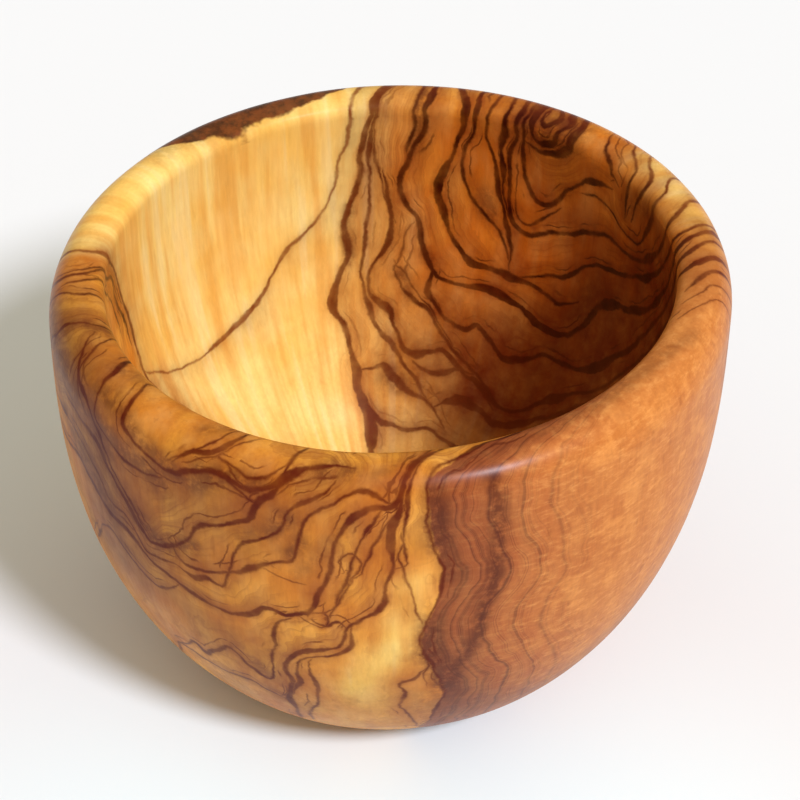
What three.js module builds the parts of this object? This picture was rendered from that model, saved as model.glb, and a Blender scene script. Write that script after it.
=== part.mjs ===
// A yarn bowl: one block of olive wood, turned on a lathe and finished by hand.
//
// The bowl is a single solid of revolution about +Z. Its outline runs from the middle of the
// flat foot up the outer wall, over the crowned rim, down the inner wall and across the floor
// of the hollow. Hand finishing leaves it slightly out of true: the rim climbs a little towards
// +X, and its middle stands a little to +X of the foot's.
//
// Frame: millimetres, +Z up, origin at the middle of the foot, on the surface it stands on.

import * as THREE from "three";

// Outer wall
const FOOT_RADIUS = 34; // of the flat that the bowl stands on
const WIDEST_RADIUS = 75;
const WIDEST_HEIGHT = 96;
const FOOT_TURN = 1.4; // 1 leaves the foot at a slant, more leaves it level and then turns up
const WALL_CURVE = 2.63; // higher values fill out the lower wall

// Rim
const RIM_HEIGHT = 105; // of its crest, before the rim is tilted
const CREST_RADIUS = 68.3;
const SHOULDER_CURVE = 2; // outside of the crest: 2 is a quarter ellipse
const LIP_WIDTH = 5.6; // from the crest in to the edge of the hollow
const LIP_DROP = 4;
const LIP_CURVE = 2.5; // inside of the crest: more than 2 turns down more sharply

// Hollow
const FLOOR_THICKNESS = 13;
const HOLLOW_CURVE = 2.4; // the hollow is a superellipse: 2 is round, more is squarer

// Out of true
const RIM_TILT = 0.027; // climb of the rim per millimetre towards +X
const LEAN = 0.008; // shift of the wall to +X per millimetre of height

// Fineness of the facets
const SECTORS = 72; // round the axis
const WALL_STEPS = 18; // up the outer wall, and down the inner one
const RIM_STEPS = 6; // on each side of the crest

const hollowRadius = CREST_RADIUS - LIP_WIDTH;
const hollowTop = RIM_HEIGHT - LIP_DROP;

// Points (radius, height) from the edge of the foot up to the widest girth.
function outerWall() {
  const points = [];
  for (let i = 0; i <= WALL_STEPS; i++) {
    const rise = (i / WALL_STEPS) ** 1.5; // closer steps where the wall turns out of the foot
    const bulge = (1 - (1 - rise) ** WALL_CURVE) ** (1 / FOOT_TURN);
    const radius = FOOT_RADIUS + (WIDEST_RADIUS - FOOT_RADIUS) * bulge;
    points.push(new THREE.Vector2(radius, WIDEST_HEIGHT * rise));
  }
  return points;
}

// The shoulder, from the widest girth over to the crest of the rim.
function shoulder() {
  const points = [];
  for (let i = 1; i <= RIM_STEPS; i++) {
    const angle = (Math.PI / 2) * (i / RIM_STEPS);
    const out = (WIDEST_RADIUS - CREST_RADIUS) * Math.cos(angle) ** (2 / SHOULDER_CURVE);
    const up = (RIM_HEIGHT - WIDEST_HEIGHT) * Math.sin(angle) ** (2 / SHOULDER_CURVE);
    points.push(new THREE.Vector2(CREST_RADIUS + out, WIDEST_HEIGHT + up));
  }
  return points;
}

// The lip, from the crest of the rim down to the edge of the hollow.
function lip() {
  const points = [];
  for (let i = 1; i <= RIM_STEPS; i++) {
    const angle = (Math.PI / 2) * (i / RIM_STEPS);
    const inward = LIP_WIDTH * Math.sin(angle) ** (2 / LIP_CURVE);
    const drop = LIP_DROP * (1 - Math.cos(angle) ** (2 / LIP_CURVE));
    points.push(new THREE.Vector2(CREST_RADIUS - inward, RIM_HEIGHT - drop));
  }
  return points;
}

// The hollow, from its top edge down to the middle of its floor.
function hollow() {
  const depth = hollowTop - FLOOR_THICKNESS;
  const points = [];
  for (let i = 1; i <= WALL_STEPS; i++) {
    const angle = (Math.PI / 2) * (i / WALL_STEPS);
    const radius = hollowRadius * Math.cos(angle) ** (2 / HOLLOW_CURVE);
    const drop = depth * Math.sin(angle) ** (2 / HOLLOW_CURVE);
    points.push(new THREE.Vector2(i === WALL_STEPS ? 0 : radius, hollowTop - drop));
  }
  return points;
}

// Moves every point as hand finishing does. The foot stays flat on the surface.
function putOutOfTrue(geometry) {
  const position = geometry.getAttribute("position");
  for (let i = 0; i < position.count; i++) {
    const x = position.getX(i);
    const z = position.getZ(i);
    position.setX(i, x + LEAN * z);
    position.setZ(i, z * (1 + (RIM_TILT * x) / RIM_HEIGHT));
  }
  geometry.computeVertexNormals();
}

function makeBowl() {
  const outline = [new THREE.Vector2(0, 0), ...outerWall(), ...shoulder(), ...lip(), ...hollow()];
  const geometry = new THREE.LatheGeometry(outline, SECTORS);
  geometry.rotateX(Math.PI / 2); // the lathe turns about +Y, and the bowl stands along +Z
  putOutOfTrue(geometry);
  const oliveWood = new THREE.MeshStandardMaterial({
    name: "olive_wood",
    color: new THREE.Color().setRGB(0.72, 0.43, 0.17, THREE.SRGBColorSpace),
    roughness: 0.45,
    metalness: 0,
  });
  const bowl = new THREE.Mesh(geometry, oliveWood);
  bowl.name = "bowl";
  return bowl;
}

const yarnBowl = new THREE.Group();
yarnBowl.name = "yarn_bowl";
yarnBowl.add(makeBowl());

export default yarnBowl;
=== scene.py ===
# %% [markdown]
# # A turned bowl in olive wood
# This lesson builds one bowl for holding a ball of yarn. The real one is a single block of
# olive wood: it is turned on a lathe, sanded by hand, then oiled. So there is one piece and
# one finish here, and nearly all of the work is in the wood's figure, which is what makes
# olive wood worth turning. Lengths in this file are in millimetres until they go into a mesh.

import math

import bpy
import numpy as np
import mathutils.noise
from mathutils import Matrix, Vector


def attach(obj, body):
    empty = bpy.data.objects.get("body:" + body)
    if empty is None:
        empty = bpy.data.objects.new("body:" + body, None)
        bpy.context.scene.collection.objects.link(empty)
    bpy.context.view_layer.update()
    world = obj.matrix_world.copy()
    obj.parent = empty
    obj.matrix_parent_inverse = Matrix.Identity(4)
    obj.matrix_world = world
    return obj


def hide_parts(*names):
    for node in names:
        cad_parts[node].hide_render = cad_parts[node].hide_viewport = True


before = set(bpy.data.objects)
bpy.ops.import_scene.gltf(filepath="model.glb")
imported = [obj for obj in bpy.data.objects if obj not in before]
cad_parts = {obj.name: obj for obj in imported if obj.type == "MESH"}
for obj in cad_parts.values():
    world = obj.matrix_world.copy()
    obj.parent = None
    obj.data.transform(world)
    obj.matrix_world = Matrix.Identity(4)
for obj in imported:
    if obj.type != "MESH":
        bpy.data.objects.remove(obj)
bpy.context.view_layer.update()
MM = 0.001  # metres in a millimetre

# %% [markdown]
# ## Node trees as sums
# A node tree is easier to read as arithmetic than as boxes and wires. `Wire` wraps one
# output of a node, and its operators add the Math nodes that do the sum. `Board` wraps a
# tree, and `add` is the only way that a node gets into it: the settings first, because
# they decide which sockets the node has, and then its sockets' values or links.

# %% A wire that can be added, multiplied and compared
class Wire:
    def __init__(self, board, socket):
        self.board, self.socket = board, socket

    def math(self, operation, *others, first=None):
        values = [self if first is None else first, *others]
        inputs = {i: value for i, value in enumerate(values)}
        return self.board.add("ShaderNodeMath", {"operation": operation}, inputs)

    def __add__(self, other): return self.math("ADD", other)
    def __radd__(self, other): return self.math("ADD", other)
    def __sub__(self, other): return self.math("SUBTRACT", other)
    def __rsub__(self, other): return self.math("SUBTRACT", self, first=other)
    def __mul__(self, other): return self.math("MULTIPLY", other)
    def __rmul__(self, other): return self.math("MULTIPLY", other)
    def __truediv__(self, other): return self.math("DIVIDE", other)
    def __rtruediv__(self, other): return self.math("DIVIDE", self, first=other)
    def __pow__(self, other): return self.math("POWER", other)
    def __abs__(self): return self.math("ABSOLUTE")
    def sin(self): return self.math("SINE")
    def cos(self): return self.math("COSINE")
    def fraction(self): return self.math("FRACT")
    def at_most(self, other): return self.math("MINIMUM", other)
    def at_least(self, other): return self.math("MAXIMUM", other)

    def ramp(self, start, end):
        """0 at start, 1 at end, smooth between. Start may be the higher of the two."""
        return self.board.add(
            "ShaderNodeMapRange", {"interpolation_type": "SMOOTHSTEP"},
            {"Value": self, "From Min": start, "From Max": end})


class Board:
    def __init__(self, tree):
        self.tree = tree
        tree.nodes.clear()

    def add(self, kind, settings=None, inputs=None, output=0):
        node = self.tree.nodes.new(kind)
        for name, value in (settings or {}).items():
            setattr(node, name, value)
        for name, value in (inputs or {}).items():
            if isinstance(value, Wire):
                self.tree.links.new(value.socket, node.inputs[name])
            else:
                node.inputs[name].default_value = value
        return Wire(self, node.outputs[output]) if node.outputs else node

    def vector(self, operation, *values, output=0):
        inputs = {i: value for i, value in enumerate(values)}
        if operation == "SCALE":
            inputs = {0: values[0], "Scale": values[1]}
        return self.add("ShaderNodeVectorMath", {"operation": operation}, inputs, output)

    def blend(self, share, low, high, how="MIX"):
        """Colour low where share is 0 and high where it is 1."""
        return self.add("ShaderNodeMix", {"data_type": "RGBA", "blend_type": how},
                        {0: share, 6: low, 7: high}, output=2)

    def noise(self, place, size, detail=2.0, roughness=0.5, output="Fac"):
        """Smooth random variation, 0 to 1 about 0.5, in lumps about size across."""
        return self.add("ShaderNodeTexNoise", {},
                        {"Vector": place, "Scale": 1 / size, "Detail": detail,
                         "Roughness": roughness}, output)


print("boards and wires are ready")

# %% [markdown]
# ## The turner's template
# A turner checks the work against a template of its outline. Ours is one line from the
# middle of the foot, up the outer wall, over the rim, down the hollow and in to its middle.
# Each stretch follows a rule: superellipses for the walls and the rim, because they
# swell and tighten as a hand-turned curve does. Beside its radius and height, each point
# keeps a third number, `across`, which the figure of the wood is placed by later. It is
# negative down the outside, 0 to 11 over the rim, and more down the inside.

# %% Sizes, and the rules for each stretch
FOOT_RADIUS = 34
WIDEST_RADIUS, WIDEST_HEIGHT = 75, 96
FOOT_TURN, WALL_CURVE = 1.4, 2.63
RIM_HEIGHT, CREST_RADIUS = 105, 68.3
LIP_WIDTH, LIP_DROP, LIP_CURVE = 5.6, 4, 2.5
FLOOR_THICKNESS, HOLLOW_CURVE = 13, 2.4
EDGE_HEIGHT = RIM_HEIGHT - LIP_DROP
HOLLOW_RADIUS = CREST_RADIUS - LIP_WIDTH
OUTER_EDGE = 73.87  # radius of the shoulder at the height of the hollow's edge
RIM_WIDTH = OUTER_EDGE - HOLLOW_RADIUS


def foot(t):
    return FOOT_RADIUS * t, 0 * t, -EDGE_HEIGHT - FOOT_RADIUS * (1 - t)


def outer_wall(t):
    rise = t ** 1.5
    bulge = (1 - (1 - rise) ** WALL_CURVE) ** (1 / FOOT_TURN)
    height = WIDEST_HEIGHT * rise
    return FOOT_RADIUS + (WIDEST_RADIUS - FOOT_RADIUS) * bulge, height, height - EDGE_HEIGHT


def shoulder(t):
    angle = math.pi / 2 * t
    radius = CREST_RADIUS + (WIDEST_RADIUS - CREST_RADIUS) * np.cos(angle)
    height = WIDEST_HEIGHT + (RIM_HEIGHT - WIDEST_HEIGHT) * np.sin(angle)
    return radius, height, np.where(height < EDGE_HEIGHT, height - EDGE_HEIGHT,
                                    np.maximum(OUTER_EDGE - radius, 0))


def lip(t):
    angle = math.pi / 2 * t
    radius = CREST_RADIUS - LIP_WIDTH * np.sin(angle) ** (2 / LIP_CURVE)
    drop = LIP_DROP * (1 - np.maximum(np.cos(angle), 0) ** (2 / LIP_CURVE))
    return radius, RIM_HEIGHT - drop, OUTER_EDGE - radius


def hollow(t):
    angle = math.pi / 2 * t
    drop = (EDGE_HEIGHT - FLOOR_THICKNESS) * np.sin(angle) ** (2 / HOLLOW_CURVE)
    radius = HOLLOW_RADIUS * np.maximum(np.cos(angle), 0) ** (2 / HOLLOW_CURVE)
    return radius * (t < 1), EDGE_HEIGHT - drop, RIM_WIDTH + drop


# %% The template, in even steps
def evenly(rule, steps):
    """Points (radius, height, across) along a rule, at equal distances, without its start."""
    fine = np.stack(rule(np.linspace(0, 1, 3000)), axis=1)
    run = np.concatenate([[0], np.cumsum(np.hypot(*np.diff(fine[:, :2], axis=0).T))])
    stops = np.linspace(0, run[-1], steps + 1)[1:]
    return np.stack([np.interp(stops, run, column) for column in fine.T], axis=1)


STRETCHES = [(foot, 8), (outer_wall, 79), (shoulder, 15), (lip, 10), (hollow, 88)]
template = np.concatenate([[[0, 0, -EDGE_HEIGHT - FOOT_RADIUS]],
                           *(evenly(rule, steps) for rule, steps in STRETCHES)])
SECTORS = 480
print(f"template: {len(template)} points, {template[:, 0].max():.0f} mm at its widest, "
      f"{template[:, 1].max():.0f} mm tall")

# %% [markdown]
# ## Turning the bowl
# On the lathe the block spins and the gouge follows the template. A Geometry Nodes tree
# does the same: a grid has one row for each point of the template and one column for each
# step of the turn, and each of its points is sent to its place. Two small faults of hand
# finishing are put in after that, as in the real bowl: the rim climbs a little
# towards +X, and the wall leans that way. The sander also leaves swells of a few tenths of
# a millimetre, which only show where light grazes the wall.

# %% The template as a mesh that the tree can read
def new_mesh(name, points, edges=(), faces=()):
    mesh = bpy.data.meshes.new(name)
    mesh.from_pydata(points, edges, faces)
    return mesh


template_mesh = new_mesh("template", [(r * MM, 0, h * MM) for r, h, _ in template],
                         [(i, i + 1) for i in range(len(template) - 1)])
across_values = template_mesh.attributes.new("across", "FLOAT", "POINT")
across_values.data.foreach_set("value", template[:, 2])
template_object = bpy.data.objects.new("template", template_mesh)
bpy.context.scene.collection.objects.link(template_object)

# %% The tree that turns it
RIM_TILT, LEAN = 0.027, 0.008
lathe = bpy.data.node_groups.new("lathe", "GeometryNodeTree")
LATHE_INPUTS = {
    "Template": ("NodeSocketObject", template_object),
    "Points": ("NodeSocketInt", len(template)),
    "Sectors": ("NodeSocketInt", SECTORS),
    "Rim Height": ("NodeSocketFloat", RIM_HEIGHT * MM),
    "Rim Tilt": ("NodeSocketFloat", RIM_TILT),
    "Lean": ("NodeSocketFloat", LEAN),
    "Sanding Swell": ("NodeSocketFloat", 0.35 * MM),
    "Finish": ("NodeSocketMaterial", None),
}
identifiers = {}
for name, (kind, _) in LATHE_INPUTS.items():
    item = lathe.interface.new_socket(name, in_out="INPUT", socket_type=kind)
    identifiers[name] = item.identifier
lathe.interface.new_socket("Geometry", in_out="OUTPUT", socket_type="NodeSocketGeometry")

board = Board(lathe)
group_in = lathe.nodes.new("NodeGroupInput")
given = {name: Wire(board, group_in.outputs[name]) for name in LATHE_INPUTS}
sheet = board.add("GeometryNodeMeshGrid", {}, {
    "Size X": 1.0, "Size Y": 1.0,
    "Vertices X": given["Points"], "Vertices Y": given["Sectors"] + 1})
grid_place = board.add("GeometryNodeInputPosition")
column, row = (board.add("ShaderNodeSeparateXYZ", {}, {0: grid_place}, output=axis)
               for axis in (1, 0))
index = (row + 0.5) * (given["Points"] - 1)
turn = (column + 0.5) * (2 * math.pi)
drawn = board.add("GeometryNodeObjectInfo", {}, {"Object": given["Template"]},
                  output="Geometry")
stop = board.add("GeometryNodeSampleIndex", {"data_type": "FLOAT_VECTOR"}, {
    "Geometry": drawn, "Value": grid_place, "Index": index.math("ROUND")})
drawn_across = board.add("GeometryNodeInputNamedAttribute", {"data_type": "FLOAT"},
                         {"Name": "across"})
stop_across = board.add("GeometryNodeSampleIndex", {"data_type": "FLOAT"}, {
    "Geometry": drawn, "Value": drawn_across, "Index": index.math("ROUND")})
radius, height = (board.add("ShaderNodeSeparateXYZ", {}, {0: stop}, output=axis)
                  for axis in (0, 2))
x, y = radius * turn.cos(), radius * turn.sin()
place = board.add("ShaderNodeCombineXYZ", {}, {
    "X": x + given["Lean"] * height,
    "Y": y,
    "Z": height * (1 + given["Rim Tilt"] * x / given["Rim Height"])})
marked = board.add("GeometryNodeStoreNamedAttribute", {"data_type": "FLOAT"}, {
    "Geometry": sheet, "Name": "across", "Value": stop_across})
turned = board.add("GeometryNodeSetPosition", {}, {"Geometry": marked, "Position": place})
closed = board.add("GeometryNodeMergeByDistance", {}, {
    "Geometry": turned, "Distance": 0.01 * MM})
swell = board.noise(board.add("GeometryNodeInputPosition"), 26 * MM, detail=1.0) - 0.5
height_now = board.add(
    "ShaderNodeSeparateXYZ", {}, {0: board.add("GeometryNodeInputPosition")}, output=2)
off_the_foot = height_now.ramp(1 * MM, 12 * MM)
shift = board.vector("SCALE", board.add("GeometryNodeInputNormal"),
                     swell * off_the_foot * given["Sanding Swell"])
sanded = board.add("GeometryNodeSetPosition", {}, {"Geometry": closed, "Offset": shift})
smooth = board.add("GeometryNodeSetShadeSmooth", {}, {"Geometry": sanded})
solid = board.add("GeometryNodeRealizeInstances", {}, {"Geometry": smooth})
finished = board.add("GeometryNodeSetMaterial", {}, {
    "Geometry": solid, "Material": given["Finish"]})
group_out = lathe.nodes.new("NodeGroupOutput")
lathe.links.new(finished.socket, group_out.inputs["Geometry"])
print(f"the lathe tree has {len(lathe.nodes)} nodes")

# %% Run it, and keep the result as a plain mesh
olive_wood = bpy.data.materials.new("olive_wood_oiled")
olive_wood.use_nodes = True
blank = bpy.data.objects.new("blank", bpy.data.meshes.new("blank"))
bpy.context.scene.collection.objects.link(blank)
turning = blank.modifiers.new("turning", "NODES")
turning.node_group = lathe
for name, (_, value) in LATHE_INPUTS.items():
    turning[identifiers[name]] = olive_wood if name == "Finish" else value
evaluated = blank.evaluated_get(bpy.context.evaluated_depsgraph_get())
bowl_mesh = bpy.data.meshes.new_from_object(evaluated)
blank.modifiers.remove(turning)
for helper in (blank, template_object):
    bpy.data.objects.remove(helper)
bowl = bpy.data.objects.new("turned_bowl", bowl_mesh)
bpy.context.scene.collection.objects.link(bowl)
bowl_mesh.calc_loop_triangles()
print(f"bowl: {len(bowl_mesh.vertices)} points, {len(bowl_mesh.loop_triangles)} triangles")

# %% Which way the faces point
spots = np.empty(len(bowl_mesh.vertices) * 3)
bowl_mesh.vertices.foreach_get("co", spots)
spots = spots.reshape(-1, 3) / MM
normals = np.empty(len(bowl_mesh.vertices) * 3)
bowl_mesh.vertices.foreach_get("normal", normals)
normals = normals.reshape(-1, 3)
underside = spots[:, 2] < 0.01
if normals[underside, 2].mean() > 0:
    bowl_mesh.flip_normals()
    normals = -normals
print(f"underside normals point {normals[underside, 2].mean():+.2f} along Z")

# %% [markdown]
# ## Where the figure comes from
# The lines in olive wood are its growth rings, cut through wherever the wall meets them. The
# ring that shows as a line inside the bowl comes out over the rim and goes on down the
# outside. An image can't do that on a round wall, and plain noise has no order. So the
# rings are drawn as a carver would, each as a few marks on the wall (`turn` in
# degrees round the bowl from +X, `across` in millimetres), and numbered outwards from the
# heartwood. From the marks we work out two things for each point of the bowl: how far it is
# from the nearest dark line, and its ring number, a smooth number through the whole block.
# The first gives the bold lines and the second the fine ones between them.

# %% A place on the wall, from turn and across
def out_of_true(x, y, z):
    return np.stack([x + LEAN * z, y, z * (1 + RIM_TILT * x / RIM_HEIGHT)], axis=-1)


def on_the_wall(turn, across):
    radius = np.interp(across, template[:, 2], template[:, 0])
    height = np.interp(across, template[:, 2], template[:, 1])
    angle = np.radians(turn)
    return out_of_true(radius * np.cos(angle), radius * np.sin(angle), height)


def drawn_line(marks, step=0.8):
    """A smooth line through the marks: its points, and the unit vectors along it and to its left."""
    marks = np.array(marks, float)
    ends = np.concatenate([[2 * marks[0] - marks[1]], marks, [2 * marks[-1] - marks[-2]]])
    t = np.linspace(0, 1, 24, endpoint=False)[:, None]
    runs = []
    for a, b, c, d in zip(ends, ends[1:], ends[2:], ends[3:]):
        runs.append(0.5 * (2 * b + (c - a) * t + (2 * a - 5 * b + 4 * c - d) * t ** 2
                           + (3 * b - a - 3 * c + d) * t ** 3))
    fine = np.concatenate([*runs, marks[-1:]])
    path = on_the_wall(*fine.T)
    run = np.concatenate([[0], np.cumsum(np.linalg.norm(np.diff(path, axis=0), axis=1))])
    stops = np.linspace(0, run[-1], max(4, int(run[-1] / step)))
    turn, across = (np.interp(stops, run, column) for column in fine.T)
    path = on_the_wall(turn, across)
    along = np.gradient(path, axis=0)
    outward = np.cross(on_the_wall(turn + 0.2, across) - on_the_wall(turn - 0.2, across),
                       on_the_wall(turn, across + 0.2) - on_the_wall(turn, across - 0.2))
    left = np.cross(outward, along)
    unit = lambda v: v / np.linalg.norm(v, axis=1, keepdims=True)
    return path, unit(along), unit(left), stops


print("the rim's crest at 90 degrees is at", on_the_wall(90, 5.57).round(1))

# %% [markdown]
# ## The lines themselves
# Each line is its ring number, its width in millimetres, and its marks. The bowl was cut
# across a burl, at the top of the right wall: the rings nest round it in long swags that
# drop from the back of the rim, sweep along the right wall and climb out over the rim again.
# The left wall is clean sapwood with one stray line. Outside, the swags hang from a point at
# the front, where the rings fold back on themselves along a sharp boundary.

# %% Lines on the outside, from the boundary to the left
BOUNDARY = [(-75, 84), (-66, 64), (-60, 44), (-57, 26), (-59, 15), (-66, 9.8), (-73, 8), (-79, 4.5),
            (-83, 2), (-84.6, -1), (-84.4, -9), (-82.6, -16), (-81.4, -21), (-82, -29),
            (-84.2, -36), (-84.8, -42), (-83.3, -50), (-80.5, -59), (-79.5, -66), (-81, -76),
            (-82, -88), (-83, -100), (-84, -115)]
OUTSIDE_LEFT = [
    (0, 0.7, BOUNDARY),
    (0.6, 0.8, [(-80.5, 9.6), (-85, 4.2), (-87.8, -1), (-87.6, -10), (-88.6, -16), (-87.4, -25),
                (-86.4, -31), (-84.9, -35.5)]),
    (0.5, 0.5, [(-84.8, -46), (-83.8, -50), (-84, -55.5), (-82.8, -60)]),
    (0.7, 0.8, [(-84, -52), (-85.6, -57), (-88.2, -58.6), (-87.2, -63), (-88, -67.5), (-86.6, -72),
                (-85, -78), (-82.8, -85)]),
    (1, 1.2, [(-82.5, 9.8), (-86.4, 4), (-88.6, -0.5), (-89.7, -8), (-89.6, -17), (-90.6, -24),
              (-91.5, -30), (-94.5, -34), (-97, -37.5), (-97.6, -41.5), (-99.5, -44.8),
              (-104.5, -46.7), (-107.3, -50), (-108.7, -56), (-108.4, -62), (-109.8, -70),
              (-109.6, -78), (-112, -88)]),
    (0.9, 0.9, [(-96.5, -38), (-96.4, -43.5), (-99.5, -47.3), (-104, -49), (-106.3, -53),
                (-107, -60), (-108.8, -68)]),
    (0.8, 0.8, [(-103.3, -49), (-104.3, -54), (-103.7, -62), (-103.8, -70), (-106.5, -77),
                (-108, -84)]),
    (1.6, 1.1, [(-138, -72), (-134.5, -65), (-128, -66), (-123, -66.5), (-118, -65.4),
                (-115, -68.3), (-110.5, -72)]),
    (2, 0.8, [(-139, -76), (-135, -66), (-131, -61.5), (-128.5, -59.3), (-126, -61.5),
              (-122.5, -56.5), (-119.8, -53.8), (-116.5, -58.8), (-113, -62), (-111.5, -58.5),
              (-110.3, -47), (-109.6, -39.5), (-106.5, -36.5)]),
    (2.5, 0.8, [(-156, -52), (-151, -43), (-148, -37.5), (-144, -36.3), (-139.5, -39.5), (-134, -43.2),
                (-130.5, -41), (-128, -37.6)]),
    (2.4, 0.6, [(-105.5, -34.8), (-103, -37), (-101, -38), (-100.3, -35.8), (-100.6, -33.2),
                (-102.8, -32.6)]),
    (2, 0.7, [(-99.8, -34), (-98.4, -27.5), (-96.8, -21), (-95.2, -14), (-93.4, -8),
              (-91.4, -2.6)]),
    (3, 1.2, [(-168, -26), (-160, -24), (-154.5, -22.3), (-149, -25), (-144, -29.3), (-138, -31),
              (-132.5, -35), (-127.5, -37.3), (-120.5, -39.8), (-115, -39), (-111.5, -35.3),
              (-107.5, -35.8), (-103.8, -33.3), (-101.5, -27.5), (-99.6, -21), (-98.6, -14),
              (-96.5, -7), (-93.5, -2.6), (-90, -1.6), (-87, 3), (-84, 6.5), (-79, 10)]),
    (4, 1.0, [(-128.5, -24.5), (-126, -29), (-121.5, -29.2), (-116, -26.2), (-111.5, -23),
              (-108, -20), (-105.4, -17.8), (-104.9, -12), (-103.4, -7), (-100.5, -2.8),
              (-96, 0.2), (-92.6, 0.2), (-89.5, -1.4)]),
    (3.6, 0.5, [(-111, -22.5), (-107.5, -24.5), (-103.5, -24.8)]),
    (4.6, 0.9, [(-127.5, -31), (-124, -32.3), (-121.2, -31), (-118, -32), (-116.7, -27),
                (-115, -20), (-111.5, -14.8), (-108, -11), (-106, -5.5), (-103, -1.5), (-99, 1.5)]),
    (5.3, 0.8, [(-168, -17), (-160, -16), (-153, -15.5), (-147.5, -19), (-143.5, -24.5), (-138.5, -27),
                (-134.5, -31.8), (-130.5, -32), (-127.5, -31)]),
    (6, 1.1, [(-158, -8), (-151, -9.5), (-146, -11), (-141.5, -16.5), (-138, -22), (-133.5, -27.8),
              (-129.5, -27), (-125, -22.5), (-122.3, -16.5), (-117.5, -13.2), (-113, -9.5),
              (-111.3, -4.5), (-108.5, -1.5), (-106.6, 4), (-105, 9)]),
    (7.5, 1.3, [(-141, 9), (-139.4, 3), (-138, -0.5), (-133.5, -3), (-128.5, -5), (-123.5, -3.2),
                (-119, -1), (-114, -2.2), (-110, -1), (-105.5, 2), (-100.5, 4.2), (-96, 4)]),
    (7, 0.9, [(-128, -2.5), (-124, 0.8), (-121, 4), (-119.3, 9)]),
    (6.7, 0.7, [(-119.5, 1), (-116.6, 5), (-113, 9)]),
    (7.2, 0.9, [(-127, -2.5), (-124, 1), (-119.5, 2.5), (-116, 10)]),
    (6.9, 0.8, [(-124.5, -1.5), (-120, 1), (-112, 0), (-107, 3)]),
    (6.6, 0.8, [(-121.5, -1), (-118.5, -1), (-111.5, -4.5), (-109, -1.5), (-106, 1)]),
    (8.4, 1.0, [(-160, 6), (-156, 2), (-149, -2), (-144.5, -9), (-133, -27)]),
    (3.4, 0.7, [(-97.5, -20), (-98, -17.5), (-96, -14.5), (-94.5, -17.5), (-97, -22.5)]),
    (3.1, 0.8, [(-96.5, -21.5), (-95, -20.5), (-93.5, -15.5), (-89, -2)]),
    (2.8, 0.8, [(-103, -33), (-99.5, -31.5), (-96.5, -22.5)]),
    (1.9, 0.7, [(-103, -35.5), (-100.5, -37.5), (-99, -35.5), (-97, -38.5)]),
    (0.8, 0.7, [(-90, -19.5), (-87.5, -18), (-88, -9)]),
]

# %% Lines over the left of the rim, and the one on the sapwood
LEFT_RIM = [
    (9, 0.9, [(-150.5, 12), (-149.3, 9), (-147.6, 4.5), (-146.2, 0), (-145, -5), (-140, -8),
              (-134, -9), (-129, -7.5)]),
    (10, 0.7, [(-158, 12), (-157, 8.5), (-155, 4), (-152.6, -1), (-149, -6)]),
    (10.5, 0.5, [(-158.5, 7), (-157, 2.5), (-156, -2)]),
    (11, 0.9, [(-161, 12), (-161.5, 9.5), (-163.3, 5), (-165.5, 1.5), (-168, -4), (-170, -10)]),
    (12, 0.8, [(-171, 12), (-172, 8), (-172.8, 4), (-175, 0.5), (-178, -7), (-180, -18)]),
    (12.6, 0.7, [(-177.6, 10), (-178.3, 4), (-180, 0), (-184, -7)]),
    (13, 0.6, [(-189, 34), (-186, 23), (-183, 17.5), (-178.5, 12), (-176, 7), (-176.4, 2)]),
    (13.6, 0.5, [(-191, 26), (-188, 18), (-183.5, 13), (-180.5, 9), (-179.5, 4), (-182, -1)]),
    (14, 0.7, [(-194, 40), (-192, 32), (-189, 24), (-187.5, 18), (-183.5, 13), (-180, 9.5), (-178, 6),
               (-178.7, 2), (-182, -6)]),
    (15, 1.1, [(-216, 84), (-208, 72), (-200, 60), (-195.6, 50.6), (-195.6, 46), (-196, 41),
               (-194.7, 33), (-194, 30), (-192.7, 24), (-190.5, 17.5), (-187.6, 12.5), (-185.2, 8),
               (-185.6, 3.5), (-187.5, -1), (-192, -9), (-198, -20)]),
    (16, 0.8, [(94, -8), (94.5, 1), (98, 9.5), (99.3, 16), (101.5, 25), (104, 34), (108, 39.3),
               (113.5, 44), (118.5, 49.5), (124, 55), (130, 57.3), (139, 59.3), (147, 58.8),
               (154, 57), (159, 53.6), (164, 50.8)]),
]

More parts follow.
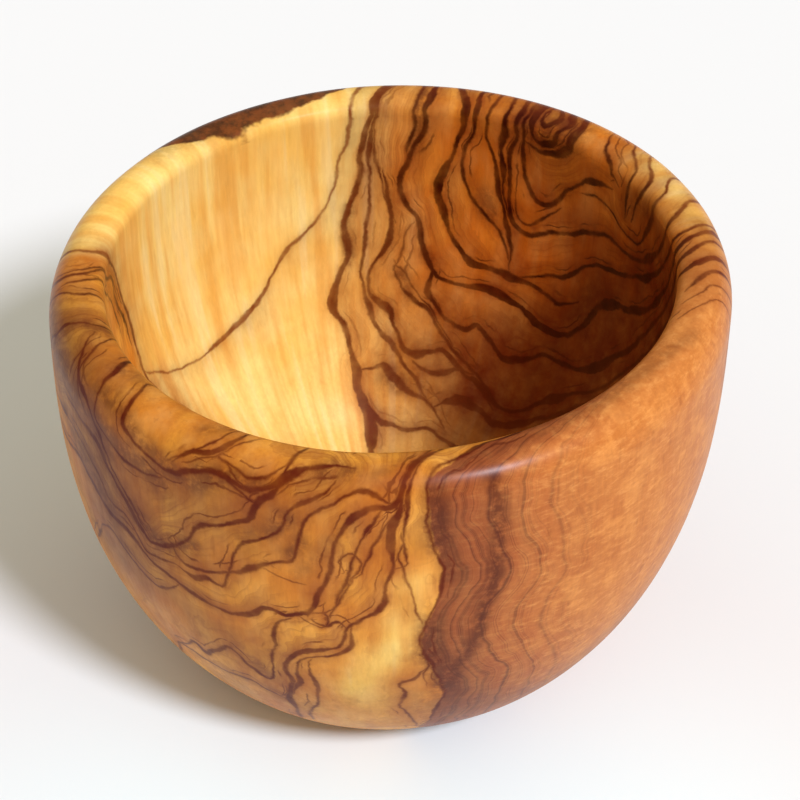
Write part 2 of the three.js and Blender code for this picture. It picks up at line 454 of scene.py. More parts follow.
# %% Lines on the right wall, from the sapwood in to the burl
RIGHT_WALL = [
    (17, 2.0, [(90, -14), (90, -4), (90.5, 4), (92.5, 9), (95.2, 14), (96.3, 21), (96.3, 28), (98.6, 34),
               (99.8, 40), (99.5, 48), (102.6, 54.5), (103.8, 60), (101.5, 66), (100, 73),
               (98.2, 80), (96.5, 88), (99, 96)]),
    (17.4, 1.6, [(98.3, 81), (94.5, 84.8), (88, 85.7), (82, 86.6), (75, 86.2), (68, 87.3),
                 (58, 88.5)]),
    (18, 0.9, [(88.5, 3), (91, 8), (93.8, 14), (94.5, 22), (94.2, 30), (95, 38), (95.8, 46), (96.6, 54),
               (95.8, 61), (93, 67), (89, 70.2), (86, 74.5), (82, 77.6), (77, 81.5)]),
    (18.5, 0.5, [(90, 6), (93, 12), (93.3, 20), (92.2, 27), (90.6, 34), (88.6, 41)]),
    (18.6, 1.3, [(99.6, 75), (95, 74.6), (91.3, 74.5), (88.5, 77.5), (85, 79.7), (80, 80.3),
                 (76, 82.3), (71, 85)]),
    (19, 1.3, [(91.6, 26), (90, 34), (89.4, 41.5), (91.6, 49), (95, 55), (94.3, 60), (90, 62.6),
               (87.8, 67), (85.5, 71.5), (82, 72.4), (78, 71.8), (73.5, 71), (68, 74.8),
               (62, 76.5), (56, 79.5)]),
    (19.6, 1.2, [(75.5, 82), (71.5, 80.8), (66, 80), (60, 81), (54, 82), (47, 80.5), (38, 76),
                 (29, 70), (20, 61)]),
    (20, 0.6, [(84.5, 40.5), (86.3, 44.5), (87.2, 50), (88, 53)]),
    (20.2, 0.9, [(83, 74), (77.5, 76.3), (73, 75.4), (69.5, 74.2), (64, 74.6)]),
    (20.6, 0.6, [(88, 51), (84.5, 56.5), (80.5, 60.5), (76.5, 64.5), (72, 69)]),
    (21, 1.4, [(88.2, 52.5), (87, 57), (83.5, 60), (79.5, 62.5), (75.5, 66.7), (71.5, 70),
               (67, 73), (61, 75.8), (55, 78.4), (48, 77.5), (41, 73.5), (33, 69), (25, 62),
               (18, 53), (11, 42), (5, 31), (0, 22), (-4, 14), (-4.5, 9), (-1.5, 3), (0, -4)]),
    (22, 1.4, [(82.6, 43.5), (81, 49), (80.2, 54), (80, 58), (77, 61.6), (72.5, 64.3), (69, 65),
               (66, 63.8), (61.5, 66.5), (57, 69), (51.5, 68.3), (46, 65), (39, 64), (32, 61),
               (25, 55), (18, 46), (12, 36), (6, 26), (1.5, 17), (0, 10.5), (3.5, 4), (5, -3)]),
    (23, 1.7, [(80, -10), (80.5, -3), (81, 2), (81.7, 9), (82.8, 16), (85.6, 22.5), (87.6, 29), (86.8, 35),
               (83.6, 40), (82.3, 46), (80.8, 51.6), (77, 54.8), (70, 55), (63, 54.4), (57, 56.5),
               (49, 58.8), (42, 58.2), (37.5, 54), (35, 47), (30.5, 43.3), (24, 41.5), (18, 37),
               (12, 29), (7, 20), (4, 11.5), (7, 3), (8, -4)]),
    (22.6, 1.2, [(83, -6), (83.4, 2), (84.2, 9), (84.8, 15), (86, 21)]),
    (24, 1.6, [(77, -12), (77, -4), (76.3, 2), (74.4, 8), (73.8, 13), (75.4, 19.5), (78, 25), (79, 31),
               (77.5, 38), (74.4, 44), (70.5, 48.4), (65, 49.4), (60, 49.8), (53, 50.5),
               (46, 51.5), (41, 49)]),
    (24.6, 1.3, [(57, 49.2), (51, 46.8), (45, 43.2), (39.5, 38.8), (34, 35.6), (27.5, 33.6),
                 (21, 30), (15.5, 24.5), (11, 17.5), (7.5, 10.5), (9, 4), (11, -4)]),
    (25, 1.3, [(69.5, -8), (70.2, -1), (71.3, 6), (71.2, 14), (73.2, 20), (73.8, 25), (71.5, 31), (68, 35.5),
               (64, 40), (61.5, 46)]),
    (26, 1.2, [(67, -7), (67.3, 1), (68, 9), (68, 15), (66.2, 22), (65.3, 29), (63.2, 35), (61.5, 42),
               (60.6, 48)]),
    (26.5, 0.9, [(65.8, -3), (64.8, 4), (64.4, 10), (65, 16), (64.4, 23), (64.2, 29), (62, 35.5)]),
    (27, 1.5, [(62, -8), (62, 1), (62, 9), (62.8, 16), (63, 24), (62.4, 31), (60.5, 37), (57, 38.3),
               (52.5, 36), (47, 33.8), (41, 30.2), (34, 28), (28, 28.5), (22.5, 26.8),
               (17.5, 21.5), (14, 15), (12.5, 10), (16, 4.5), (19, -3)]),
    (27.5, 0.8, [(49.5, 27.5), (53, 31.5), (56.5, 35.5), (59.5, 35), (61, 29)]),
    (28, 1.4, [(60, -4), (60, 3), (60.6, 12), (59.8, 19), (58.4, 25.5), (55, 28.4), (51, 26.6), (47.5, 22),
               (43.8, 17.3), (39.5, 15.2), (35.5, 14.6)]),
    (28, 0.9, [(44, 21.5), (39.8, 19.3), (35, 21), (30, 23.4), (25, 23.4), (22, 19), (19.8, 13),
               (20.2, 9), (23.5, 5), (26, -2)]),
    (29, 1.0, [(28, 19), (26.2, 14), (25, 10), (28, 6.5), (32, 3.5), (35, -3)]),
    (30, 1.1, [(30.2, 20), (30.2, 13), (30.2, 9), (34.5, 6), (39, 2)]),
    (30.5, 0.8, [(33.5, 13), (37, 10.5), (41, 7.5), (43, 2)]),
    (31, 1.6, [(50.5, -4), (49.6, 3), (48.4, 7), (48.8, 11), (51.5, 14), (56, 15), (60, 13.8)]),
    (32, 1.2, [(53.5, -2), (52.5, 4), (51, 8), (52.5, 12), (56.5, 12.8), (59, 10), (58.6, 4), (57.5, -2)]),
    (33, 1.2, [(55.5, 3), (53.8, 7.5), (55.3, 10.3), (57.3, 8.5), (56.8, 4)]),
]

# %% Lines at the right of the rim, and the run of the rings in the heartwood
HEARTWOOD = [
    (20, 0.8, [(-11, 9.5), (-8, 6), (-5, 2), (-4, -5), (-6, -16)]),
    (19, 0.7, [(-15, 9.5), (-11.5, 6), (-8.5, 1.5), (-8, -6), (-10, -18)]),
    (18, 0.6, [(-20, 9), (-15.5, 5.5), (-12, 1), (-12, -7), (-14, -20)]),
    (1.5, 0.0, [(-84, -30), (-82, -10), (-81.5, -1), (-76, 4.5), (-68, 7.5)]),
    (3, 0.0, [(-78, -60), (-79, -40), (-77.5, -20), (-77, -3), (-72, 4), (-60, 7), (-50, 8.6)]),
    (5, 0.0, [(-70, -70), (-71.5, -40), (-71, -20), (-70, -3), (-65, 3), (-54, 5.5), (-42, 6.5),
              (-30, 6), (-24, 4)]),
    (8, 0.0, [(-60, -72), (-63, -40), (-62, -15), (-58, 0), (-46, 3), (-34, 3), (-26, 0),
              (-22, -8)]),
    (11, 0.0, [(-47, -80), (-52, -50), (-51, -25), (-44, -8), (-36, -7), (-31, -16), (-30, -30)]),
    (14, 0.0, [(-30, -80), (-38, -55), (-40, -35), (-36, -26), (-32, -40)]),
    (16, 0.0, [(-14, -70), (-18, -45), (-20, -20), (-17, -3), (-20, 5), (-27, 8.5)]),
]

# %% The same rings where they go on down the back and round the front of the hollow
UNSEEN = [
    (16, 0.8, [(94, -8), (95, -28), (100, -50), (107, -80), (112, -104)]),
    (17, 1.4, [(90, -14), (91, -30), (95, -50), (100, -75), (104, -98)]),
    (23, 1.4, [(80, -10), (82, -26), (86, -45), (88, -70), (94, -92)]),
    (24, 1.3, [(77, -12), (77, -28), (80, -46), (79, -68), (84, -90)]),
    (25, 1.2, [(69.5, -8), (69, -24), (71, -44), (68, -64), (64, -84), (66, -100)]),
    (26, 1.1, [(67, -7), (64, -22), (62, -38), (56, -54), (45, -64), (32, -66), (20, -58),
               (13, -44), (12, -26), (16, -12), (19, -3)]),
    (27, 1.4, [(62, -8), (59, -22), (51, -36), (40, -42), (30, -38), (24, -26), (23, -12),
               (26, -2)]),
    (28, 1.2, [(60, -4), (56, -15), (49, -25), (40, -27), (33, -20), (31, -10), (35, -3)]),
    (30, 0.9, [(53.5, -2), (51, -12), (45, -16), (40, -12), (39, 2)]),
    (24.6, 1.1, [(11, -4), (8, -18), (8, -36), (14, -54), (26, -70), (42, -76), (54, -88)]),
    (23, 1.2, [(8, -4), (4, -20), (3, -40), (8, -60), (19, -78), (32, -90)]),
    (22, 1.0, [(5, -3), (0, -18), (-2, -38), (2, -60), (10, -80), (18, -98)]),
    (21, 0.9, [(0, -4), (-4, -20), (-7, -42), (-4, -64), (2, -86)]),
    (15, 1.0, [(-198, -20), (-206, -38), (-212, -58), (-222, -78), (-228, -100)]),
    (12, 0.8, [(-180, -18), (-186, -36), (-190, -58), (-198, -80), (-202, -100)]),
    (10, 0.9, [(-170, -10), (-177, -28), (-181, -48), (-188, -70), (-190, -94)]),
    (5.3, 0.9, [(-168, -17), (-174, -32), (-176, -52), (-181, -74), (-180, -96)]),
    (3, 1.1, [(-168, -26), (-170, -44), (-169, -62), (-173, -84)]),
    (9, 0.9, [(-150.5, 12), (-152, 28), (-148, 44), (-152, 62), (-160, 80)]),
    (7.5, 1.2, [(-141, 9), (-136, 24), (-128, 40), (-124, 58), (-130, 78)]),
    (7, 0.9, [(-119, 9), (-114, 24), (-107, 42), (-106, 60), (-112, 80)]),
    (6, 1.1, [(-105, 9), (-99, 24), (-93, 40), (-93, 58), (-100, 78)]),
    (4, 1.0, [(-96, 10), (-88, 24), (-83, 40), (-84, 58), (-90, 76)]),
    (3, 1.1, [(-79, 10), (-73, 24), (-71, 40), (-74, 58), (-82, 76)]),
]
print(sum(len(group) for group in (OUTSIDE_LEFT, LEFT_RIM, RIGHT_WALL, HEARTWOOD, UNSEEN)),
      "lines")

# %% [markdown]
# ## From lines to numbers on the mesh
# A line that is ruled on a wall looks ruled. Real rings shiver, because the tree did, so each
# point of the bowl is nudged by smooth noise before it is measured against the lines, and every
# line then wavers with its neighbours. The ring number between the lines comes from pegs along
# them: the sum of a cone on each peg, with weights solved so that the sum gives every peg its
# own number, is smooth everywhere else.

# %% The lines on the wall, and the nudged points
lines = [(number, width, *drawn_line(marks))
         for number, width, marks in OUTSIDE_LEFT + LEFT_RIM + RIGHT_WALL + HEARTWOOD + UNSEEN]


def shiver(places, size, reach, shift):
    """A smooth random nudge for each place: size is its wavelength, reach its length."""
    return reach * np.array([mathutils.noise.noise_vector(Vector(p) / size + shift) for p in places])


nudged = (spots + shiver(spots, 9.0, 1.1, Vector((0, 0, 7)))
          + shiver(spots, 3.2, 0.5, Vector((5, 0, 0))))
print(f"{len(lines)} lines, {sum(run[-1] for *_, run in lines) / 1000:.1f} m in all; "
      f"points are nudged by {np.linalg.norm(nudged - spots, axis=1).mean():.2f} mm")


# %% The ring number at any place
def gaps(places, others):
    squares = (places ** 2).sum(1)[:, None] + (others ** 2).sum(1)[None] - 2 * places @ others.T
    return np.sqrt(np.maximum(squares, 0))


PEG_EVERY, PEG_GIVE = 9, 1.2  # samples along a line, and how far off its number a peg may be
pegs = np.concatenate([path[::PEG_EVERY] for _, _, path, *_ in lines])
numbers = np.concatenate([np.full(len(path[::PEG_EVERY]), number, float)
                          for number, _, path, *_ in lines])
sums = np.ones((len(pegs) + 1, len(pegs) + 1))
sums[:-1, :-1] = PEG_GIVE * np.eye(len(pegs)) - gaps(pegs, pegs)
sums[-1, -1] = 0
weights = np.linalg.solve(sums, np.append(numbers, 0))


def ring_number(places):
    parts = np.array_split(places, len(places) // 3000 + 1)
    return np.concatenate([weights[-1] - gaps(part, pegs) @ weights[:-1] for part in parts])


ring = ring_number(nudged)
print(f"{len(pegs)} pegs; ring numbers run from {ring.min():.1f} to {ring.max():.1f}")

# %% [markdown]
# Next to a ring's dark line the wood isn't even either. Summer's growth darkens slowly towards
# the line and stops dead at it, so each line has a soft brown shade on one side, the side
# where the numbers grow. A line also swells and thins along its length, and tapers out.

# %% Lines that come close to each other go in different layers
LAYERS = 4
CLOSE = 4.5  # mm
drawn = [i for i, line in enumerate(lines) if line[1] > 0]
layer_of = {}
for i in drawn:
    crowding = np.zeros(LAYERS)
    for j, layer in layer_of.items():
        crowding[layer] += (gaps(lines[i][2], lines[j][2]).min(1) < CLOSE).sum()
    layer_of[i] = int(crowding.argmin())
print("lines in each layer:", np.bincount(list(layer_of.values())))

# %% Distance to the nearest line of each layer, its width there, and the soft shade beside it
REACH = 7  # mm, past which a line does nothing
TAPER = 7  # mm, over which a line thins to its end
SHADE_OUT, SHADE_BACK = 3.4, 1.1  # mm, how fast the shade fades on each side
chance = np.random.default_rng(11)
near = np.full((LAYERS, len(spots)), float(REACH))
line_side = near.copy()
line_half = near - 2 * REACH  # a negative half width is no line
unshaded = np.ones(len(spots))
for i, layer in layer_of.items():
    number, width, path, along, left, run = lines[i]
    grows = np.sign((ring_number(path + 1.5 * left) - ring_number(path - 1.5 * left)).mean())
    knots = np.arange(0, run[-1] + 5, 5)
    swelling = np.interp(run, knots, 0.6 + 1.4 * chance.random(len(knots)) ** 3)
    taper = np.clip(np.minimum(run, run[-1] - run) / TAPER, 0.1, 1) ** 0.6
    half = width / 2 * swelling * taper
    close = np.nonzero(((nudged > path.min(0) - REACH)
                        & (nudged < path.max(0) + REACH)).all(1))[0]
    nearest = gaps(nudged[close], path).argmin(1)
    offset = nudged[close] - path[nearest]
    side = (offset * left[nearest]).sum(1) * grows
    past = np.maximum(np.abs((offset * along[nearest]).sum(1)) - 0.4, 0)
    through = np.sqrt(np.maximum((offset ** 2).sum(1) - side ** 2 - past ** 2, 0))
    away = np.hypot(np.hypot(side, past), np.maximum(through - 1.5, 0))
    shade = np.exp(-np.abs(side) / np.where(side > 0, SHADE_OUT, SHADE_BACK))
    shade *= np.exp(-(past / 1.5) ** 2 - np.maximum(through - 2, 0)) * taper[nearest]
    unshaded[close] *= 1 - 0.95 * min(width / 1.3, 1) * swelling[nearest] ** 0.5 / 1.2 * shade
    wins = away < near[layer, close]
    won = close[wins]
    near[layer, won] = away[wins]
    line_side[layer, won] = side[wins]
    line_half[layer, won] = (half[nearest] - 0.8 * past - np.maximum(away - 1.3, 0))[wins]
vein_shade = 1 - unshaded
print(f"{(near.min(0) < 0.5).mean():.1%} of the points are on a dark line, "
      f"{(vein_shade > 0.3).mean():.0%} are in a shade")

# %% [markdown]
# ## Light wood and dark wood
# Three other things change the wood's tone over distances of a centimetre or more. The
# heartwood at the right of the front is brown, darkest where it meets the boundary. The
# sapwood on the left wall is cream. Here and there dark smoky stains follow the rings,
# most of all at the burl and at the back of the rim. Some strokes are painted shade: the left
# of the outer wall, away from the lamp, is darkened, and the burl is darkened further where
# the right of the hollow lies in shade. All are painted with broad soft strokes.

# %% Depth into the heartwood, from the boundary
def soft_step(value, start, end):
    share = np.clip((value - start) / (end - start), 0, 1)
    return share * share * (3 - 2 * share)


mesh_across = np.empty(len(spots))
bowl_mesh.attributes["across"].data.foreach_get("value", mesh_across)
across = mesh_across + (nudged - spots)[:, 2]
turn = np.degrees(np.arctan2(nudged[:, 1], nudged[:, 0] - LEAN * nudged[:, 2]))
edge_turn = np.interp(-across, *zip(*((-place, angle) for angle, place in BOUNDARY)))
girth = np.hypot(spots[:, 0], spots[:, 1])
heart = np.radians(turn - edge_turn) * girth
inside_fade = np.where(across > RIM_WIDTH,
                       soft_step(turn, -12, -45) * soft_step(across, 80, 50), 1)
heart_zone = soft_step(turn, 14, -14) * inside_fade * (heart > -8)
print(f"heartwood covers {((heart > 0) * heart_zone).mean():.0%} of the bowl")

# %% Broad soft strokes: half width in mm, strength, and marks
STAINS_AND_SHADE = [
    (5, 0.4, [(112, 4), (128, 6), (140, 4)]),
    (2.4, 0.7, [(-82.5, -2), (-82, -12), (-80.3, -22)]),
    (2.4, 0.6, [(-82, -36), (-82, -46), (-79.5, -54), (-78, -66)]),
    (2.4, 1.0, [(-73.5, 1), (-73, -15), (-73.8, -30), (-75.5, -42), (-78, -52), (-79.5, -61)]),
    (3, 0.8, [(-83.5, 0), (-83, -12)]),
    (2.6, 0.8, [(-83.6, -37), (-83.4, -48), (-80.5, -58)]),
    # These two strokes are painted shade on the left of the outer wall, the side away from the lamp.
    (5, 0.7, [(-176, -3), (-168, -3), (-160, -3), (-150, -4), (-140, -6), (-130, -9)]),
    (4, 0.6, [(-165, -10), (-158, -15), (-150, -20), (-142, -27)]),
    (2.2, 0.75, [(-147, 1), (-139, 1), (-131, -2), (-124, -6), (-120, -4)]),
    (2.5, 0.6, [(-148, 6), (-142, 9)]),
    (2, 0.8, [(-165, 1.5), (-160, 9.5)]),
    (3, 0.8, [(-135, -24), (-130, -26.5), (-124, -23)]),
    (2.8, 0.5, [(-114, -14.8), (-110, -11), (-107, -7)]),
    (2, 0.6, [(-123.5, 6.5), (-121, 9)]),
    (2.4, 0.8, [(-121.5, -1.5), (-111.5, -1)]),
    (2, 0.7, [(-101.5, 3), (-99, 5), (-96.5, 3.5)]),
    (1.6, 0.5, [(-92, 2.5), (-88.5, 4.5)]),
    (2.2, 0.9, [(-106.5, -16.5), (-104.5, -13.5)]),
    (2.4, 0.4, [(-104.5, -22), (-96, -7.5)]),
    (3, 0.5, [(-145, -12), (-139, -20), (-133, -28)]),
    (6, 0.8, [(50, 9), (55, 11), (60, 11)]),
    (1.5, 0.9, [(99.3, 36), (99.6, 43), (99.3, 50)]),
    (1.6, 0.8, [(83, 3), (83.6, 12), (84, 20)]),
    (3, 0.6, [(68, 31), (67, 35)]),
    (1.5, 0.8, [(82, 48), (80, 52)]),
    (1.6, 0.9, [(87, 54), (85, 59)]),
    (2.6, 0.8, [(90, 77), (87, 79)]),
    (2.2, 0.5, [(-114, -57), (-113, -60)]),
    (2, 0.5, [(-119, -66.5), (-115, -67.5)]),
    (1.8, 0.6, [(-109, -12), (-106, -7)]),
    (2, 0.5, [(-103, 2.5), (-97, 3)]),
    (9, 0.45, [(-80, -70), (-65, -76), (-50, -78), (-35, -70)]),
    (2, 0.45, [(-79, 3.5), (-65, 6), (-50, 7.5), (-35, 7), (-24, 4)]),
    (4, 0.5, [(20, 12), (26, 14), (30, 17)]),
    (4, 0.5, [(36, 44), (40, 50)]),
]
CREAM = [
    (5, 0.9, [(-88, -38), (-90, -46), (-94, -54), (-96, -60)]),
    (8, 0.2, [(-92, -66), (-98, -76), (-100, -86)]),
    (4, 0.5, [(-86.3, -24), (-87.5, -30)]),
    (5, 0.8, [(-8, 4), (4, 3), (10, 4), (20, 5), (32, 4)]),
]


def painted(strokes):
    bare = np.ones(len(spots))
    for half_width, strength, marks in strokes:
        path = drawn_line(marks)[0]
        close = np.nonzero(((nudged > path.min(0) - 3 * half_width)
                            & (nudged < path.max(0) + 3 * half_width)).all(1))[0]
        away = gaps(nudged[close], path).min(1) / half_width
        bare[close] *= 1 - strength * np.exp(-away ** 2)
    return 1 - bare


RED = [
    (22, 0.95, [(8, 22), (24, 30), (44, 36), (60, 48)]),
    (22, 0.95, [(20, 50), (40, 66), (62, 76)]),
    (9, 0.6, [(30, 8), (44, 10), (58, 14), (74, 16)]),
    (13, 0.5, [(90, 8), (94, 22)]),
    (15, 0.8, [(92, 24), (86, 40), (82, 56), (80, 80)]),
]
# The burl's dark wood, made darker still as painted shade: the right of the hollow lies in the rim's shade.
BURL_AND_SHADE = [
    (18, 0.95, [(0, 26), (8, 36), (16, 50), (26, 62), (40, 74), (54, 80)]),
    (15, 0.9, [(12, 24), (22, 36), (34, 50), (48, 62), (62, 72)]),
    (9, 0.5, [(50, 20), (44, 30), (38, 40)]),
]
# Painted shade: darker brown over the front-left and left of the outer wall, the side that faces away from
# the lamp.
LEFT_SIDE_SHADE = [
    (13, 0.95, [(-164, 1), (-154, -4), (-149, -12), (-147, -24), (-143, -42)]),
    (11, 0.5, [(-142, -34), (-132, -34), (-124, -44), (-116, -54)]),
    (14, 0.34, [(-116, -72), (-100, -70), (-88, -66)]),
    (12, 0.5, [(-142, -18), (-130, -16), (-120, -14)]),
    (7, 0.3, [(-120, -8), (-110, -5), (-98, 2)]),
]
stains_and_shade, cream, red, burl_and_shade, left_side_shade = (painted(strokes)
                                  for strokes in (STAINS_AND_SHADE, CREAM, RED, BURL_AND_SHADE, LEFT_SIDE_SHADE))
floor_blur = 2.5 * soft_step(across, 75, 100)  # rings softly, where no line marks its edge
sapwood = soft_step(ring, 14.3 - floor_blur, 15.2 + floor_blur) * (0.45 * soft_step(ring, 17.1, 16.5)
                                        + 0.55 * soft_step(ring, 25, 17))
pale = np.maximum(cream, sapwood) * (1 - heart_zone * (heart > 0))
print(f"sapwood covers {(pale > 0.5).mean():.0%}, stains {(stains_and_shade > 0.3).mean():.0%}")

# %% The dark patch on the back of the rim, from its outer to its inner edge
PATCH = [(95, 1, -1), (99, -5, 4.8), (104, -10, 7.6), (113, -13, 9.2), (126, -15, 10.4),
         (130, -12, 9), (134, -10, 7), (140, -5, 3), (146, 1, -1)]
patch_turns, patch_outer, patch_inner = np.array(PATCH).T
patch = np.minimum(np.interp(turn, patch_turns, patch_inner) - across,
                   across - np.interp(turn, patch_turns, patch_outer))
print(f"the patch on the rim covers {(patch > 0).mean():.1%}")

# %% Hand the numbers to the mesh
FIELDS = {"ring": ring, "vein_shade": vein_shade, "heart": heart, "heart_zone": heart_zone,
          "pale": pale, "stains_and_shade": stains_and_shade, "patch": patch, "left_side_shade": left_side_shade,
          "red": red * (mesh_across > 2),
          "hollow": soft_step(mesh_across, 4, RIM_WIDTH), "burl_and_shade": burl_and_shade * (mesh_across > RIM_WIDTH)}
for layer in range(LAYERS):
    FIELDS[f"line_side_{layer}"] = line_side[layer]
    FIELDS[f"line_half_{layer}"] = line_half[layer]
for name, values in FIELDS.items():
    bowl_mesh.attributes.new(name, "FLOAT", "POINT").data.foreach_set("value", values)
streak_places = np.column_stack([spots[:, :2] * (60 / np.maximum(girth, 25))[:, None],
                                 across / 11])
bowl_mesh.attributes.new("down_wall", "FLOAT_VECTOR", "POINT").data.foreach_set(
    "vector", streak_places.ravel())
print("numbers on the mesh:", ", ".join(FIELDS))

# %% [markdown]
# ## The finish: oiled olive wood
# Oil deepens the colour and leaves a satin sheen, with the pores still open. The shader
# builds the colour in the order that the eye finds it: the tone of the wood, its fibres and
# pores, a painted shimmer in the heartwood, the fine rings, the brown shade by each dark line,
# the stains and the painted shade, and last the lines themselves. Everything reads either the
# numbers on the mesh or Object coordinates.

# %% Tools for the finish
def paint(red, green, blue):
    """A colour given as it looks, 0 to 255, for a socket that wants light."""
    light = [((c / 255 + 0.055) / 1.055) ** 2.4 if c > 10 else c / 255 / 12.92
             for c in (red, green, blue)]
    return (*light, 1.0)


wood = Board(olive_wood.node_tree)
place = wood.vector("SCALE", wood.add("ShaderNodeTexCoord", output="Object"), 1 / MM)


def field(name):
    return wood.add("ShaderNodeAttribute", {"attribute_name": name}, output="Fac")


def stretched(x, y, z):
    """The place in the wood with each axis squeezed, so that noise there is drawn out."""
    return wood.vector("MULTIPLY", place, (1 / x, 1 / y, 1 / z))


print("the finish starts from", len(FIELDS), "numbers and the place in the wood")

# %% Tone of the wood
cloud = wood.noise(place, 16, detail=2)
mottle = wood.noise(place, 6, detail=3, roughness=0.6)
down_wall = wood.add("ShaderNodeAttribute", {"attribute_name": "down_wall"}, output="Vector")
streak = wood.noise(down_wall, 3.6, detail=2, roughness=0.5)
pale = field("pale")
honey = wood.blend(cloud.ramp(0.3, 0.7), paint(214, 128, 38), paint(240, 166, 60))
honey = wood.blend(streak.ramp(0.45, 0.75) * 0.4, honey, paint(178, 96, 28))
sapwood_tone = wood.blend(cloud.ramp(0.3, 0.7), paint(250, 200, 98), paint(255, 224, 134))
sapwood_tone = wood.blend(streak.ramp(0.42, 0.7) * 0.6, sapwood_tone, paint(232, 158, 60))
sapwood_tone = wood.blend(streak.ramp(0.45, 0.3) * 0.55, sapwood_tone, paint(255, 230, 156))
honey = wood.blend(field("red") * (0.7 + 0.6 * (mottle - 0.5)), honey, paint(204, 92, 10))
tone = wood.blend(pale, honey, sapwood_tone)

# %% Heartwood, in stripes that follow its boundary
heart_depth = field("heart") + (mottle - 0.5) * 4
in_heart = heart_depth.ramp(-0.4, 0.5) * field("heart_zone")
near_heart = wood.blend(heart_depth.ramp(1, 22), paint(136, 70, 38), paint(172, 94, 46))
heartwood = wood.blend(heart_depth.ramp(14, 48), near_heart, paint(196, 118, 54))
ring_depth = field("heart") + (cloud - 0.5) * 7
stripe = wood.noise(wood.add("ShaderNodeCombineXYZ", {}, {"X": ring_depth}), 2.4, detail=4,
                    roughness=0.75)
heartwood = wood.blend(stripe.ramp(0.47, 0.62) * heart_depth.ramp(44, 6) * 0.85, heartwood,
                       paint(74, 28, 20))
heartwood = wood.blend(stripe.ramp(0.5, 0.3) * heart_depth.ramp(40, 6) * 0.5, heartwood,
                       paint(200, 118, 58))
tone = wood.blend(in_heart, tone, heartwood)

# %% Fibres, pores and the ripple that the oil brings up
fibre = wood.noise(stretched(1, 1, 9), 0.9, detail=3, roughness=0.65)
ripple = wood.noise(stretched(1, 1, 3), 5, detail=2)
cross_grain = wood.noise(stretched(3, 3, 1), 1.1, detail=3, roughness=0.7)
pores = wood.noise(stretched(1, 1, 6), 0.5, detail=1).ramp(0.63, 0.78)
flecks = wood.noise(stretched(1, 1, 5), 1.6, detail=2).ramp(0.6, 0.74)
tone = wood.blend((fibre - 0.5).at_least(-0.3) * (0.55 - 0.2 * pale) + 0.16, tone,
                  paint(132, 62, 18))
tone = wood.blend(ripple.ramp(0.35, 0.75) * (0.22 - 0.16 * in_heart), tone, paint(252, 196, 112))
tone = wood.blend(flecks * (0.2 - 0.14 * pale), tone, paint(122, 60, 22))
# Lighter golden flecks and patches in the heartwood: grain figure, with a painted shimmer where the oiled
# grain catches the light.
tone = wood.blend(cross_grain.ramp(0.45, 0.8) * in_heart * (0.12 + 0.3 * heart_depth.ramp(6, 30)), tone, paint(236, 166, 92))
tone = wood.blend(mottle.ramp(0.45, 0.7) * in_heart * heart_depth.ramp(12, 40) * 0.4, tone,
                  paint(226, 152, 78))
tone = wood.blend(cross_grain.ramp(0.5, 0.25) * in_heart * 0.2, tone, paint(134, 70, 34))

# %% Fine rings, between the drawn ones
ring_here = field("ring") + (wood.noise(place, 3.0, detail=2) - 0.5) * 0.35
late = (ring_here * 3).fraction()
fine_ring = late.ramp(0.45, 0.93) * late.ramp(1.0, 0.94)
coarse = (ring_here * 1.0 + 0.4).fraction()
coarse_ring = coarse.ramp(0.2, 0.9) * coarse.ramp(1.0, 0.92)
ring_strength = cloud.ramp(0.25, 0.7) * (1 - 0.85 * pale) * (1 - 0.9 * in_heart)
fine_share = ring_strength * (0.3 * fine_ring + 0.4 * coarse_ring)
tone = wood.blend(fine_share, tone, paint(130, 60, 20))

# %% Shades, stains and painted shade
shade_share = field("vein_shade") * (0.1 + 1.6 * mottle)
shade_tone = wood.blend(field("red"), paint(132, 54, 12), paint(100, 28, 2))
tone = wood.blend((shade_share * 0.95).at_most(0.9), tone, shade_tone)
# Stains, with painted shade on the left of the outer wall
stain_and_shade_share = field("stains_and_shade") * wood.noise(place, 2.4, detail=3, roughness=0.65).ramp(0.2, 0.6)
tone = wood.blend(stain_and_shade_share * 0.9, tone, paint(84, 34, 14))
rim_patch = (field("patch") + (mottle - 0.5) * 4).ramp(-0.5, 0.6)
patch_tone = wood.blend(wood.noise(place, 3.5, detail=3, roughness=0.7).ramp(0.35, 0.65),
                        paint(62, 22, 10), paint(110, 50, 20))
tone = wood.blend(rim_patch * 0.95, tone, patch_tone)
# Painted shade on the left of the outer wall
tone = wood.blend(field("left_side_shade") * (0.7 + 0.6 * (mottle - 0.5)), tone, paint(98, 46, 22))
# The burl's dark wood, deepened by painted shade on the right of the hollow
tone = wood.blend(field("burl_and_shade") * (0.6 + 0.5 * mottle), tone, paint(84, 18, 3))

# %% The dark lines, and the thin line that now and then runs beside one
shaky = (wood.noise(place, 1.3, detail=2) - 0.5) * 0.7
waver = (wood.noise(place, 6.5, detail=2) - 0.5) * 3
comes_and_goes = wood.noise(place, 9, detail=1).ramp(0.46, 0.58) * (1 - pale)
on_line, on_echo = 0.0, 0.0
for layer in range(LAYERS):
    side, half = (field(f"line_{part}_{layer}") for part in ("side", "half"))
    on_line = (abs(side + shaky) - half).ramp(0.4, -0.3).at_least(on_line)
    echo = abs(side + shaky - 2.1 + waver).ramp(0.36, 0.06) * half.ramp(-1.6, -0.8)
    on_echo = echo.at_least(on_echo)
on_line = on_line.at_least(on_echo * comes_and_goes * 0.75)
line_depth = 0.68 + 0.9 * (wood.noise(place, 4.5, detail=2) - 0.4)
line_share = (on_line * line_depth).at_most(0.95)
line_tone = wood.blend(field("hollow"), paint(84, 20, 4), paint(44, 4, 1))
line_tone = wood.blend(pale, line_tone, paint(118, 52, 16))
colour = wood.blend(line_share, tone, line_tone)

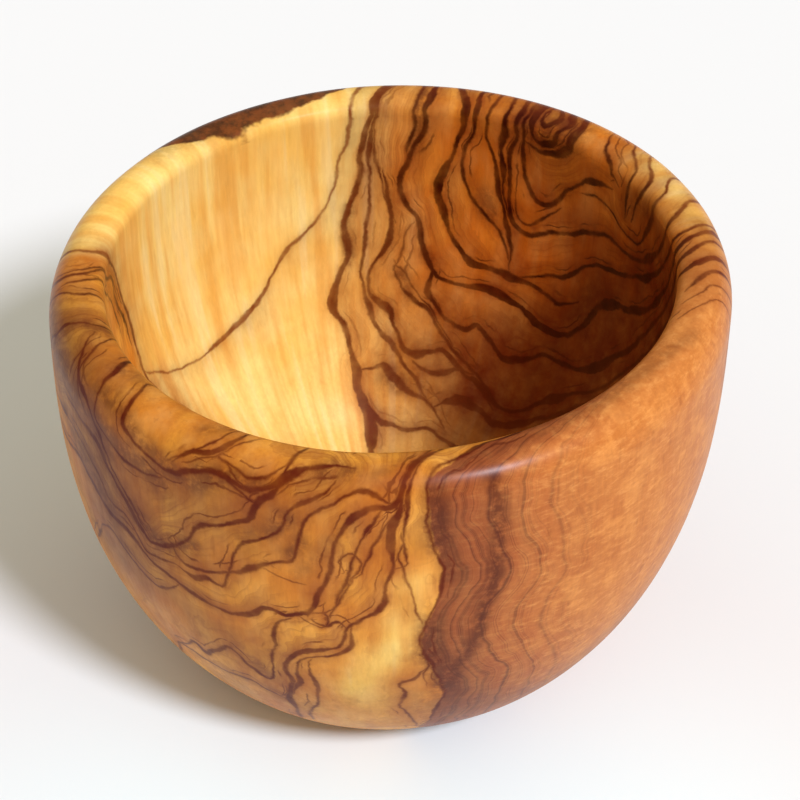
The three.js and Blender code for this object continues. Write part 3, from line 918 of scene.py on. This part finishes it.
# %% Sheen and relief
relief = fibre * 0.35 - pores * 0.7 - line_share * 0.25
bumped = wood.add("ShaderNodeBump", {}, {
    "Height": relief, "Strength": 0.16, "Distance": 0.25 * MM})
roughness = 0.36 + 0.16 * (mottle - 0.5) + 0.1 * fibre - 0.05 * line_share + 0.12 * pores
shader = wood.add("ShaderNodeBsdfPrincipled", {}, {
    "Base Color": colour, "Roughness": roughness, "Normal": bumped,
    "Coat Weight": (0.2 - 0.16 * field("hollow")) * (1 - 0.7 * line_share),
    "Coat Roughness": 0.27, "Specular IOR Level": 0.04})
finish_out = olive_wood.node_tree.nodes.new("ShaderNodeOutputMaterial")
olive_wood.node_tree.links.new(shader.socket, finish_out.inputs["Surface"])
print(f"the finish has {len(olive_wood.node_tree.nodes)} nodes")

# %% [markdown]
# ## The floor, the light and the camera
# The bowl stands on a white sweep of paper. A large lamp to the front and right, halfway
# up, puts the right side of the hollow in shade and throws a soft shadow to the back and
# left. The pale surroundings fill the rest.

# %% The floor
floor_mesh = new_mesh("floor", [(-8, -8, 0), (8, -8, 0), (8, 8, 0), (-8, 8, 0)],
                      faces=[(0, 1, 2, 3)])
floor = bpy.data.objects.new("floor", floor_mesh)
bpy.context.scene.collection.objects.link(floor)
paper = bpy.data.materials.new("white_paper")
paper.use_nodes = True
sheet_board = Board(paper.node_tree)
sheet_place = sheet_board.add("ShaderNodeTexCoord", output="Object")
tooth = sheet_board.noise(sheet_place, 0.0006)
# Painted light: the paper is paler and cooler in front of the bowl, to cancel the orange light that the wood
# throws onto it.
from_front = sheet_board.vector("DISTANCE", sheet_place, (0, -100 * MM, 0), output=1)
paper_colour_and_painted_light = sheet_board.blend(from_front.ramp(140 * MM, 50 * MM), (0.775, 0.78, 0.785, 1),
                                 (0.8, 0.9, 0.92, 1))
paper_shader = sheet_board.add("ShaderNodeBsdfPrincipled", {}, {
    "Base Color": paper_colour_and_painted_light, "Roughness": 0.62, "Specular IOR Level": 0.3,
    "Normal": sheet_board.add("ShaderNodeBump", {}, {
        "Height": tooth, "Strength": 0.05, "Distance": 0.1 * MM})})
paper_out = paper.node_tree.nodes.new("ShaderNodeOutputMaterial")
paper.node_tree.links.new(paper_shader.socket, paper_out.inputs["Surface"])
floor_mesh.materials.append(paper)

# %% The light
scene = bpy.context.scene
scene.view_settings.view_transform = "Standard"
world = bpy.data.worlds.new("white_room")
world.use_nodes = True
scene.world = world
backdrop = world.node_tree.nodes["Background"]
backdrop.inputs["Color"].default_value = (1.0, 0.96, 0.8, 1)
backdrop.inputs["Strength"].default_value = 0.32


def far_lamp(name, toward, width, power, colour):
    """A lamp so far off that its light is even: width is how wide it looks, in degrees."""
    data = bpy.data.lights.new(name, "SUN")
    data.angle, data.energy, data.color = math.radians(width), power, colour
    light = bpy.data.objects.new(name, data)
    light.rotation_euler = Vector(toward).to_track_quat("Z", "Y").to_euler()
    scene.collection.objects.link(light)


far_lamp("key", (0.406, -0.579, 0.707), 11, 3.1, (0.97, 0.985, 1.1))
far_lamp("overhead", (0.15, -0.1, 1), 110, 0.85, (1.0, 0.96, 0.8))

# %% The camera
camera_data = bpy.data.cameras.new("camera")
camera_data.lens, camera_data.sensor_width = 136.9, 36
camera = bpy.data.objects.new("camera", camera_data)
camera.location = (0, -0.5362, 0.49995)
aim = Vector((0.00297, 0, 0.0658))
camera.rotation_euler = (aim - camera.location).to_track_quat("-Z", "Y").to_euler()
scene.collection.objects.link(camera)
scene.camera = camera
print("the camera is", round((camera.location - aim).length, 3), "m away")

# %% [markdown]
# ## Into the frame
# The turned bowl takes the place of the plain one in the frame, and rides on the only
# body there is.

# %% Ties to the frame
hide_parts("bowl")
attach(bowl, "root")
